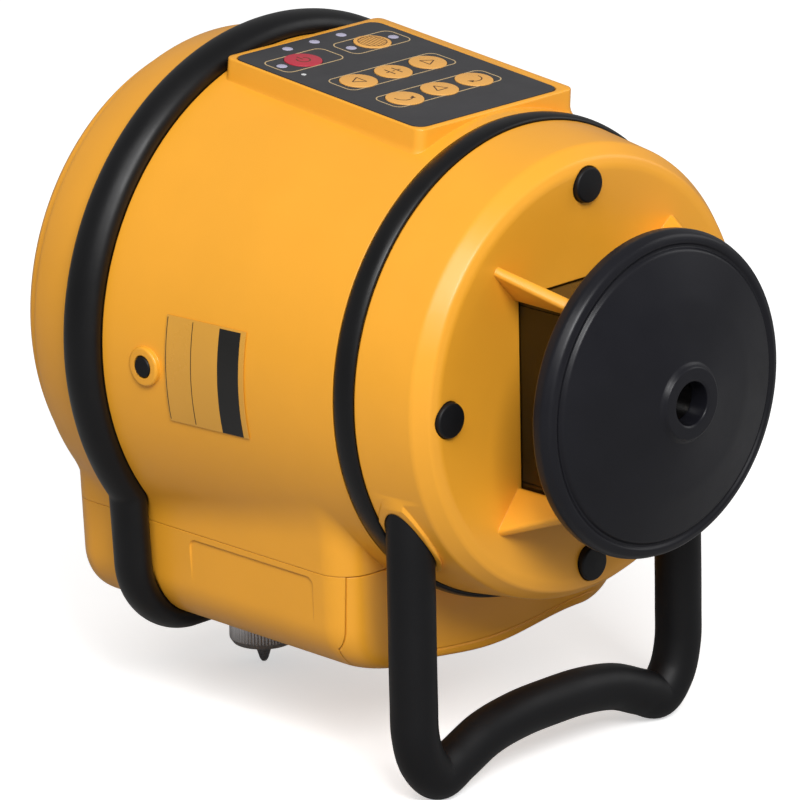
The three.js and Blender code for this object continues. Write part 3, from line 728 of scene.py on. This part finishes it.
def door_crease():
    """A hairline groove on the door that follows the box's rounded outline along its bottom."""
    reach = box_reach(BOX_FRONT_Y + BOX_CORNER, DOOR_CREASE_INSET)
    low = np.flatnonzero((reach * np.sin(THETA) < -74) & (reach > 0))
    path = [(reach[i] * math.cos(THETA[i]), BOX_FRONT_Y, reach[i] * math.sin(THETA[i])) for i in low]
    path = [(x, front_face(x) - 0.12, z) for x, _, z in path]
    return tube("crease", path, 0.42, 8)


def front_face(x):
    """Where the box's front surface is at x, with its plan corners rounded."""
    into = max(0.0, abs(x) - (BOX_HALF - BOX_CORNER))
    return BOX_FRONT_Y + BOX_CORNER - math.sqrt(max(0.0, BOX_CORNER**2 - into**2))


def make_battery_case():
    """The case under the parting line: a battery bay in front, a pocket behind, the foot's boss."""
    case = grid_object("case_shell", polar_rows(body_rows()), cap_ends=True)
    bay = in_box("bay", WALL, BOX_FRONT_Y + WALL, BAY_REAR_Y, SEAM_Z - 2.8, BOX_CORNER - WALL)
    pocket = in_box("pocket", WALL, 133, 184.6, -40)
    carve(case, [above(SEAM_Z - SEAM_GAP), drum_front(), bay, pocket])
    boss = bar(BUSH_R + 4, -94, -66, "Z", y=FOOT_Y, round_end=0.8)
    cord_room = block("cord_room", (-30, 140, -130), (30, BUMPER_Y + BUMPER_SECTION[1] + GAP, -88))
    carve(case, [carve(boss, [cord_room])], "UNION")
    bush_hole = bar(BUSH_R + GAP, -110, -60, "Z", y=FOOT_Y)
    carve(case, [doorway(GAP), bush_hole, base_pocket(), side_panel(-1), side_panel(1)])
    return finish_piece(case, YELLOW, replaces=["battery_case"])


def make_door():
    """The battery door: the box's front wall and the front edge of its floor, on a slide."""
    door = grid_object("battery_door_panel", polar_rows(body_rows()), cap_ends=True)
    bay = in_box("bay", WALL, BOX_FRONT_Y + WALL, BAY_REAR_Y, 0, BOX_CORNER - WALL)
    carve(door, [doorway(0)], "INTERSECT")
    carve(door, [drum_front(), bay, door_crease()])
    return finish_piece(door, YELLOW, "battery_door", ["battery_door"])


def make_rear_base():
    """The flat round base behind the drum, with a raised land, and four screws in wells."""
    front = DRUM_REAR_Y + 0.4
    profile = [
        (9.3, 174), (15, 174), (15, front), (BASE_R, front, 0.2), (BASE_R - 0.4, 193.6, 1.5),
        (BASE_R - 1.6, 195.4, 1), (BASE_R - 3, BASE_REAR_Y, 0.6), (66, 196, 0.4), (65.4, 195.3),
        (63.2, 195.3), (62.6, 196, 0.4), (21, 196, 0.4), (20.4, 195.4), (18.6, 195.4), (18, 196, 0.4),
        (9.3, 196, 0.3),
    ]
    base = turned("rear_base_plate", profile, 240)
    places = [math.radians(a) for a in (45, 135, 225, 315)]
    spots = [(55 * math.cos(a), 55 * math.sin(a)) for a in places]
    carve(base, [bar(4.2, 192.6, 200, "Y", x=x, z=z) for x, z in spots])
    finish_piece(base, YELLOW, replaces=["rear_base"])
    for i, (x, z) in enumerate(spots):
        profile = [(0.001, 192.7), (3.6, 192.7), (3.6, 194.4, 0.5), (0.001, 194.8)]
        head = turned("head", profile, 40, False, x, z)
        socket = block("socket", (x - 2.4, 193.6, z - 0.45), (x + 2.4, 196, z + 0.45))
        cross = block("cross", (x - 0.45, 193.6, z - 2.4), (x + 0.45, 196, z + 2.4))
        carve(head, [socket, cross])
        head.name = f"base_screw_{i + 1}"
        finish_piece(head, STEEL)


def make_tripod_insert():
    """The brass insert for a tripod's screw, with its thread's crests."""
    pitch, crest, root = 2.31, 7.2, 8.1
    profile = [(9, 176.3), (9, 195.7, 0.3), (7.9, 195.7, 0.3)]
    for i in range(8):
        y = 194.5 - i * pitch
        profile += [(crest, y), (crest, y - 0.3)]
        profile += [(root, y - pitch * 0.6), (root, y + 0.5 - pitch * 0.9)]
    profile.append((7.9, 176.3))
    insert = turned("tripod_insert_brass", profile, 96)
    return finish_piece(insert, BRASS, replaces=["tripod_insert"])


def make_bumper():
    """The thick cord round the drum, mitred where it turns down the sides of the box."""
    thick, wide = BUMPER_SECTION
    rows = []
    for phi in full_turn(36):
        rows.append((BUMPER_Y + wide * math.sin(phi), bumper_reach(thick * math.cos(phi))))
    rows.append(rows[0])
    cord = grid_object("bumper_cord", polar_rows(rows), sharp=60)
    return finish_piece(cord, RUBBER, replaces=["rear_bumper"])


def make_front_ring():
    """The rubber ring between the head cover and the drum."""
    ring = turned("front_ring_cord", ring_profile(0), 280)
    return finish_piece(ring, RUBBER, replaces=["front_ring"])


# -------- head, lantern and cap
QUARTERS = {"top": (0, 1), "left": (-1, 0), "bottom": (0, -1), "right": (1, 0)}
LEG_HOLE_R = GRIP_R + GAP


def make_rib(side_x, side_z):
    """A gusset at one corner of the lantern: thin at the face, thicker at the cap."""
    front = CAP_BACK_Y + GAP
    corners = [(0.4, 33, 1.6), (17.4, 31.6, 1.5), (3.8, front, 1.9), (0.4, front, 1.9)]
    work = bmesh.new()
    for reach, y, half in corners:
        for across in (-half, half):
            x = LANTERN_X + (reach + across) / math.sqrt(2)
            z = LANTERN_Z + (reach - across) / math.sqrt(2)
            work.verts.new((side_x * x, y, side_z * z))
    bmesh.ops.convex_hull(work, input=work.verts[:])
    bmesh.ops.dissolve_limit(work, angle_limit=0.02, verts=work.verts[:], edges=work.edges[:])
    round_edges(work, 1.0, 4)
    return from_bmesh("rib", work)


def make_head_cover():
    """The dished front of the head: window, screw plug pockets, gussets and the leg sockets."""
    skin = [
        (0.001, 30.8), (40, 30.8), (55, 29.2, 30), (63.5, 28, 6), (66.6, 28.9, 2.5), (70, 33.6, 4),
        (HEAD_R, HEAD_REAR_Y - 0.5, 0.4), (HEAD_R - 0.5, HEAD_REAR_Y), (0.001, HEAD_REAR_Y),
    ]
    lining = [
        (0.001, 33.4), (40, 33.4), (55, 31.8), (62.5, 30.8), (64.4, 31.4), (67.4, 35),
        (HEAD_R - WALL, 56), (HEAD_R - WALL, 70), (0.001, 70),
    ]
    cover = turned("head_cover_shell", skin, 320, closed=False, steps=7)
    spots = {name: (x * PLUG_RING_R, z * PLUG_RING_R) for name, (x, z) in QUARTERS.items()}
    wells = [bar(PLUG_R + 2.2, 29.5, 42, "Y", x=x, z=z) for x, z in spots.values()]
    carve(cover, [turned("lining", lining, 160, closed=False)])
    collars = []
    proud, collar_wall = 0.45, 1.6
    flush = [
        (0.001, 38), (71.2 + proud, 38, 1), (HEAD_R + proud, HEAD_REAR_Y, 0.6), (0.001, HEAD_REAR_Y),
    ]
    for side in (-1, 1):
        collar = bar(LEG_HOLE_R + collar_wall, -66, -20, "Z", x=side * LEG_X, y=LEG_Y, sides=96)
        collars.append(carve(collar, [turned("flush", flush, 320, closed=False)], "INTERSECT"))
    ribs = [make_rib(sx, sz) for sx in (-1, 1) for sz in (-1, 1)]
    carve(cover, [*wells, *collars, *ribs], "UNION")
    across, upright = LANTERN_X + GAP, LANTERN_Z + GAP
    outline = rectangle(-across, across, -upright, upright, 0.8)
    opening = prism("opening", outline, [(20, 0), (45, 0)], facing_front)
    pockets = [bar(PLUG_R + GAP, 20, 31, "Y", x=x, z=z) for x, z in spots.values()]
    legs = [bar(LEG_HOLE_R, -90, -23.5, "Z", x=side * LEG_X, y=LEG_Y, sides=96) for side in (-1, 1)]
    ring = turned("ring", ring_profile(GAP), 240)
    carve(cover, [opening, *pockets, *legs, ring])
    finish_piece(cover, YELLOW, replaces=["head_cover"])
    for name, (x, z) in spots.items():
        profile = [(0.001, 26.7), (PLUG_R, 26.9, 0.7), (PLUG_R, 30.6), (0.001, 30.6)]
        plug = turned(f"head_plug_{name}_cap", profile, 64, False, x, z)
        finish_piece(plug, PLUG_BLACK, replaces=[f"head_plug_{name}"])


def make_cap():
    """The round cap in front of the lantern: rolled rim, groove, shallow cone and a hub."""
    profile = [
        (6.7, -13.6, 0.3), (7.4, HUB_Y, 0.3), (10.9, HUB_Y, 0.6), (11.6, -12.9, 0.5),
        (12.3, -12.3, 0.6), (30, -8.2, 60), (44.2, -3.9, 1.4), (45.0, -2.7, 0.3), (45.7, -2.8, 0.3),
        (46.6, -3.6, 1.0), (48.9, -2.9, 2.0), (CAP_R, -0.2, 3.0), (49.7, 3.4, 1.6),
        (48.2, CAP_BACK_Y, 0.8), (39, CAP_BACK_Y, 0.8), (38, 0.4, 1), (9.4, -8.6), (9.4, 1), (6.7, 1),
    ]
    cap = turned("cap_disc_shell", profile, 320, steps=6)
    return finish_piece(cap, CAP_BLACK, replaces=["cap_disc"])


# -------- handle and foot
def make_handle():
    """The bent grip: two legs, two large corners that touch the floor and a wavy cross bar."""
    half = [
        (LEG_X, -24), (LEG_X, -60), (LEG_X, -92), (57.3, -104), (54.3, -113.4), (48.1, -119.2),
        (40.1, -116.2), (28, -111.2), (14, -108.9),
    ]
    right = [(x, LEG_Y, z) for x, z in half]
    left = [(-x, LEG_Y, z) for x, z in reversed(half)]
    path = smooth_curve([*right, (0, LEG_Y, -108.5), *left], 12)
    grip = tube("handle_bar", path, GRIP_R, 48)
    return finish_piece(grip, GRIP, replaces=["handle_grip"])


def make_foot():
    """The levelling foot: a pointed spindle and a knurled knob."""
    tip, crest, root, pitch = -126.5, 3.2, 2.75, 1.5
    profile = [(0.001, tip), (0.8, tip + 0.2, 0.4), (1.4, tip + 1.1, 0.5), (3.1, tip + 6.6, 0.4)]
    profile.append((crest, -104))
    for i in range(17):
        z = -103.4 + pitch * i
        profile += [(crest, z), (crest, z + 0.25), (root, z + 0.75), (root, z + 1.0)]
    profile += [(2.8, -76), (0.001, -76)]
    spindle = turn_upright(turned("foot_spindle_screw", profile, 64, closed=False), 0, FOOT_Y)
    finish_piece(spindle, STEEL, "foot_spindle", ["foot_spindle"])
    path = rounded_path([
        (3.5, -119.3), (9.8, -119.3, 0.5), (10.4, -118.4, 0.4), (10.9, -117.6, 0.3), (10.9, -106, 0.3),
        (10.4, -105.2, 0.4), (9.8, -104.1, 0.6), (3.5, -104.1),
    ], 4, closed=True)
    flutes, per_flute, flute_depth, knurled_from = 64, 6, 0.34, 10.6
    angles = full_turn(flutes * per_flute)
    knurl = flute_depth * (0.5 + 0.5 * np.cos(angles * flutes)) ** 0.7
    rows = []
    for r, z in [*path, path[0]]:
        radius = r - knurl * (r > knurled_from)
        row = (radius * np.cos(angles), np.full_like(angles, z), radius * np.sin(angles))
        rows.append(np.stack(row, axis=1))
    knob = turn_upright(grid_object("foot_knob_knurled", rows, sharp=40), 0, FOOT_Y)
    finish_piece(knob, CHROME, "foot_knob", ["foot_knob"])


# -------- keypad
def print_symbol(name, outlines, key):
    """A key's symbol: thin raised shapes of ink, joined into one piece that rides on the key."""
    low, high = 0.42, 0.48
    parts = [prism("ink", outline, [(low, 0), (high, 0)], on_pad) for outline in outlines]
    return finish_piece(join(name, parts), INK, key)


def frame_strip(x0, x1, y0, y1):
    """A thin rounded frame, as a ring-shaped piece on the overlay."""
    width, corner, low, high = 0.38, 3, 0.12, 0.2
    outer = rectangle(x0, x1, y0, y1, corner)
    inner = rectangle(x0 + width, x1 - width, y0 + width, y1 - width, corner - width)
    section = ((outer, low), (outer, high), (inner, high), (inner, low), (outer, low))
    return grid_object("strip", [[on_pad(*p, height) for p in outline] for outline, height in section])


def around(u, y, radius, degrees):
    """The point at an angle on a circle about (u, y)."""
    turn = math.radians(degrees)
    return u + radius * math.cos(turn), y + radius * math.sin(turn)


def arc_band(u, y, radius, start, end, width, steps=20):
    """A curved stroke as a closed outline, from one angle to a larger one in degrees."""
    angles = np.linspace(start, end, steps)
    outer = [around(u, y, radius + width / 2, a) for a in angles]
    inner = [around(u, y, radius - width / 2, a) for a in angles[::-1]]
    return outer + inner


def stroke(u0, y0, u1, y1, width):
    """A straight stroke as a closed outline."""
    ahead = Vector((u1 - u0, y1 - y0)).normalized() * width / 2
    side = Vector((-ahead.y, ahead.x))
    return [
        (u0 - side.x, y0 - side.y),
        (u1 - side.x, y1 - side.y),
        (u1 + side.x, y1 + side.y),
        (u0 + side.x, y0 + side.y),
    ]


def triangle(u, y, size, turn):
    """The three strokes of an open triangle pointing along `turn` degrees."""
    tips = [around(u, y, size, turn + a) for a in (0, 120, 240)]
    return [stroke(*tips[i], *tips[(i + 1) % 3], 0.42) for i in range(3)]


def arrow_head(u, y, size, turn):
    """A small filled arrow head pointing along `turn` degrees."""
    return [around(u, y, size, turn + a) for a in (0, 130, 230)]


def icons():
    """The symbol on each key, as outlines."""
    shapes = {}
    u, y = KEYS["power_key"]
    ring = arc_band(u, y - 0.1, 2.1, 130, 410, 0.45)
    shapes["power_key"] = [ring, stroke(u, y + 0.2, u, y + 2.9, 0.45)]
    u, y = KEYS["speed_key"]
    shapes["speed_key"] = [arc_band(u, y, 4.5, 0, 359.9, 0.3, 48)]
    for i in range(-3, 4):
        across = i * 1.15
        reach = math.sqrt(4.3**2 - across**2)
        shapes["speed_key"].append(stroke(u + across, y - reach, u + across, y + reach, 0.3))
    for name, turn in (("left_key", 180), ("right_key", 0), ("up_key", 90)):
        shapes[name] = triangle(*KEYS[name], 2.6, turn)
    u, y = KEYS["mode_key"]
    uprights = [stroke(u + at, y - 2.4, u + at, y + 2.4, 0.5) for at in (-1.5, 1.5)]
    dashes = ((-3.0, -1.5), (1.5, 3.0), (-0.5, 0.5))
    shapes["mode_key"] = uprights + [stroke(u + a, y, u + b, y, 0.4) for a, b in dashes]
    for name, side in (("turn_left_key", 1), ("turn_right_key", -1)):
        u, y = KEYS[name]
        y += 0.9
        start, end = (170, 320) if side > 0 else (10, -140)
        arc = arc_band(u, y, 3.0, min(start, end), max(start, end), 0.42)
        shapes[name] = [arc, arrow_head(*around(u, y, 3.0, end), 1.2, end + 90 * side)]
    return shapes


def overlay_outline(margin=0.0):
    """The overlay's outline, which is centred on the keys and not on its block."""
    half, front_y, rear_y, corner = 30.1 + margin, 68.4 - margin, 149 + margin, 4
    return rectangle(-half, half, front_y, rear_y, corner)


def make_keypad():
    """The overlay with its printed frames, eight keys with their symbols, and the lamps."""
    film = prism("keypad_film", overlay_outline(), [(-0.5, 0), (0.08, 0), (0.15, 0.08)], on_pad)
    holes = [pad_disc("hole", KEY_R + 0.18, u, y, [(-2, 0), (2, 0)]) for u, y in KEYS.values()]
    lamps = [pad_disc("hole", LED_R + 0.12, u, y, [(-2, 0), (2, 0)], 32) for u, y in LEDS.values()]
    carve(film, holes + lamps)
    finish_piece(film, OVERLAY, replaces=["keypad_overlay"])
    frames = [
        frame_strip(-27, -2, 127.7, 140), frame_strip(2, 27, 128, 140),
        frame_strip(-22.8, 22.9, 104, 116.3), frame_strip(-22.7, 22.9, 84.5, 96),
    ]
    finish_piece(join("keypad_frames", frames), CREAM)
    shapes = icons()
    for name, (u, y) in KEYS.items():
        levels = [(-2.6, 0), (0.28, 0), (0.4, 0.1), (0.45, 0.35)]
        cap = pad_disc(f"{name}_top", KEY_R, u, y, levels, 72)
        material, slot = (RED, "key_red") if name == "power_key" else (AMBER, "key_amber")
        finish_piece(cap, material, name, [name])
        print_symbol(f"{name}_symbol", shapes[name], name)
    for name, (u, y) in LEDS.items():
        levels = [(-0.5, 0), (0.12, 0), (0.24, 0.3), (0.3, 0.8)]
        lens = pad_disc(f"{name}_lens", LED_R, u, y, levels, 40)
        finish_piece(lens, LED_LENS, replaces=[name])
    dot = pad_disc("sensor_dot", 0.8, -23.8, 124.2, [(0.1, 0), (0.2, 0)], 24)
    finish_piece(dot, WHITE_DOT)


# -------- label, plugs and switch
def drum_patch(name, y0, y1, z0, z1, low, high):
    """A thin curved patch on the drum's left side, between two heights above its skin."""
    rows = []
    steps = 24
    for y, lift in ((y0, low), (y0, high), (y1, high), (y1, low), (y0, low)):
        row = []
        for z in np.linspace(z0, z1, steps):
            radius = drum_radius(y) + lift
            row.append((-math.sqrt(radius**2 - z**2), y, z))
        rows.append(row)
    rows = np.asarray(rows)
    faces = grid_faces(len(rows), steps, closed=False)
    ends = [[i * steps for i in range(4)], [(i + 1) * steps - 1 for i in range(4)]]
    return mesh_object(name, rows.reshape(-1, 3), faces + ends)


def make_label():
    """A blank rating plate: yellow film, a black band along its front and hairline rules."""
    film = drum_patch("label_film", 96.6, 128, -16.6, 16.8, 0.3, 0.5)
    finish_piece(film, LABEL_YELLOW, replaces=["rating_label"])
    band = drum_patch("label_band", 98.6, 106.9, -16.5, 16.2, 0.49, 0.56)
    rules = [drum_patch("rule", y, y + 0.25, -16.0, 16.2, 0.49, 0.54) for y in (117.4, 127.4)]
    finish_piece(join("label_rules", [band, *rules]), LABEL_BLACK)


def make_side_plugs():
    """The rubber plug in each side boss."""
    for name, side in (("left", -1), ("right", 1)):
        inner, outer = 79 * side, 82.8 * side
        profile = [(0.001, inner), (3.3, inner), (3.3, outer, 0.7), (0.001, outer)]
        plug = turned(f"side_plug_{name}_cap", profile, 48, closed=False)
        turn_sideways(plug, BOSS_Y, BOSS_Z)
        finish_piece(plug, PLUG_BLACK, replaces=[f"side_plug_{name}"])


def make_lock_switch():
    """The ribbed slider that locks the laser for carrying."""
    knob = block("lock_slider", (79.6, 96.8, -4.4), (81.4, 106.8, 4.4), 0.3)
    ribs = []
    for y, top in ((98.6, 83.5), (101.2, 84.4), (103.8, 83.5)):
        ribs.append(block("rib", (81, y, -4.0), (top, y + 1.2, 4.0), 0.35))
    carve(knob, ribs, "UNION")
    return finish_piece(knob, PLUG_BLACK, "lock_switch", ["lock_switch"])


# -------- pieces kept from the CAD model
KEPT = {
    "glass_pane": GLASS, "plumb_window": DARK_GLASS, "penta_prism": GLASS, "foot_bush": BRASS,
    "rotor_head": ALUMINIUM, "spindle_bearing": STEEL, "rotor_motor": BRASS, "laser_column": ALUMINIUM,
    "laser_module": BRASS, "gimbal": ALUMINIUM, "level_motor": STEEL, "main_board": BOARD,
    "keypad_board": BOARD, "battery_cell": CELL, "contact_strip": STEEL,
}


def dress_kept_nodes():
    """Gives each CAD node that is kept as it is its material."""
    for name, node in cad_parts.items():
        for prefix, material in KEPT.items():
            if name.startswith(prefix):
                node.data.materials.clear()
                node.data.materials.append(material)


make_body()
make_battery_case()
make_door()
make_rear_base()
make_tripod_insert()
make_bumper()
make_front_ring()
make_head_cover()
make_cap()
make_handle()
make_foot()
make_keypad()
make_label()
make_side_plugs()
make_lock_switch()
dress_kept_nodes()


# -------- camera, floor and light
def add_camera():
    """The photograph's view: a long lens from the front left, a little above."""
    azimuth, elevation, roll = (math.radians(a) for a in (-44.05, 17.592, -1.218))
    target, distance = Vector((-0.01927, -0.001, 0.1102)), 1.967134
    right = Vector((math.cos(azimuth), math.sin(azimuth), 0))
    level = math.cos(elevation)
    back = Vector((math.sin(azimuth) * level, -math.cos(azimuth) * level, math.sin(elevation)))
    up = back.cross(right)
    axes = (
        right * math.cos(roll) + up * math.sin(roll),
        up * math.cos(roll) - right * math.sin(roll),
        back,
    )
    camera = new_object("camera", bpy.data.cameras.new("camera"))
    camera.data.sensor_width = 36
    camera.data.lens = 291.05
    camera.data.clip_end = 20
    stand = Matrix.Translation(target + back * distance)
    camera.matrix_world = stand @ Matrix(axes).transposed().to_4x4()
    bpy.context.scene.camera = camera


def add_light(name, place, size, watts):
    """A soft rectangular lamp at a place, turned towards the instrument."""
    aim = Vector((0, 0, 0.1))
    lamp = new_object(name, bpy.data.lights.new(name, "AREA"))
    lamp.data.shape = "RECTANGLE"
    lamp.data.size, lamp.data.size_y = size
    lamp.data.energy = watts
    lamp.location = place
    lamp.rotation_euler = (aim - Vector(place)).to_track_quat("-Z", "Y").to_euler()


def add_floor():
    """A plain pale floor, which fills every view and throws little light back up."""
    half, squares = 12, 24
    glow, bounce_grey = 0.5, 0.35
    work = bmesh.new()
    bmesh.ops.create_grid(work, x_segments=squares, y_segments=squares, size=half)
    floor = world_object("floor", work)
    material, nodes, links, principled = shader("floor_paper", (0.93, 0.93, 0.93), 0.9)
    paper = noise(nodes, links, 3, 3)
    tint(nodes, links, principled, paper, (0.925, 0.925, 0.925), (0.94, 0.94, 0.94))
    seen = nodes.new("ShaderNodeLightPath").outputs["Is Camera Ray"]
    bounce = nodes.new("ShaderNodeMix")
    bounce.data_type = "RGBA"
    links.new(seen, bounce.inputs["Factor"])
    # A Mix node has a set of sockets for each type; 6 and 7 are its colours and output 2 is their mix.
    set_inputs(bounce, {6: (bounce_grey, bounce_grey, bounce_grey, 1)})
    links.new(principled.inputs["Base Color"].links[0].from_socket, bounce.inputs[7])
    links.new(bounce.outputs[2], principled.inputs["Base Color"])
    set_inputs(principled, {"Emission Color": (1, 1, 1, 1)})
    lift = nodes.new("ShaderNodeMath")
    lift.operation = "MULTIPLY"
    set_inputs(lift, {1: glow})
    links.new(seen, lift.inputs[0])
    links.new(lift.outputs["Value"], principled.inputs["Emission Strength"])
    floor.data.materials.append(material)


def add_world():
    """An even white backdrop that lights the scene much less than it shows."""
    world = bpy.data.worlds.new("studio")
    world.use_nodes = True
    background = world.node_tree.nodes["Background"]
    set_inputs(background, {"Color": (1, 1, 1, 1)})
    glow, white = 0.30, 1.0
    seen = world.node_tree.nodes.new("ShaderNodeLightPath").outputs["Is Camera Ray"]
    strength = world.node_tree.nodes.new("ShaderNodeMath")
    strength.operation = "MULTIPLY_ADD"
    set_inputs(strength, {1: white - glow, 2: glow})
    world.node_tree.links.new(seen, strength.inputs[0])
    world.node_tree.links.new(strength.outputs["Value"], background.inputs["Strength"])
    bpy.context.scene.world = world


add_camera()
add_floor()
add_world()
add_light("key", (-1.3, -0.6, 1.5), (1.1, 1.1), 16)
add_light("front", (-0.95, -1.6, 1.5), (0.8, 0.8), 35)
add_light("right", (1.5, -0.8, 1.0), (0.9, 1.2), 6)
bpy.context.scene.view_settings.view_transform = "Standard"
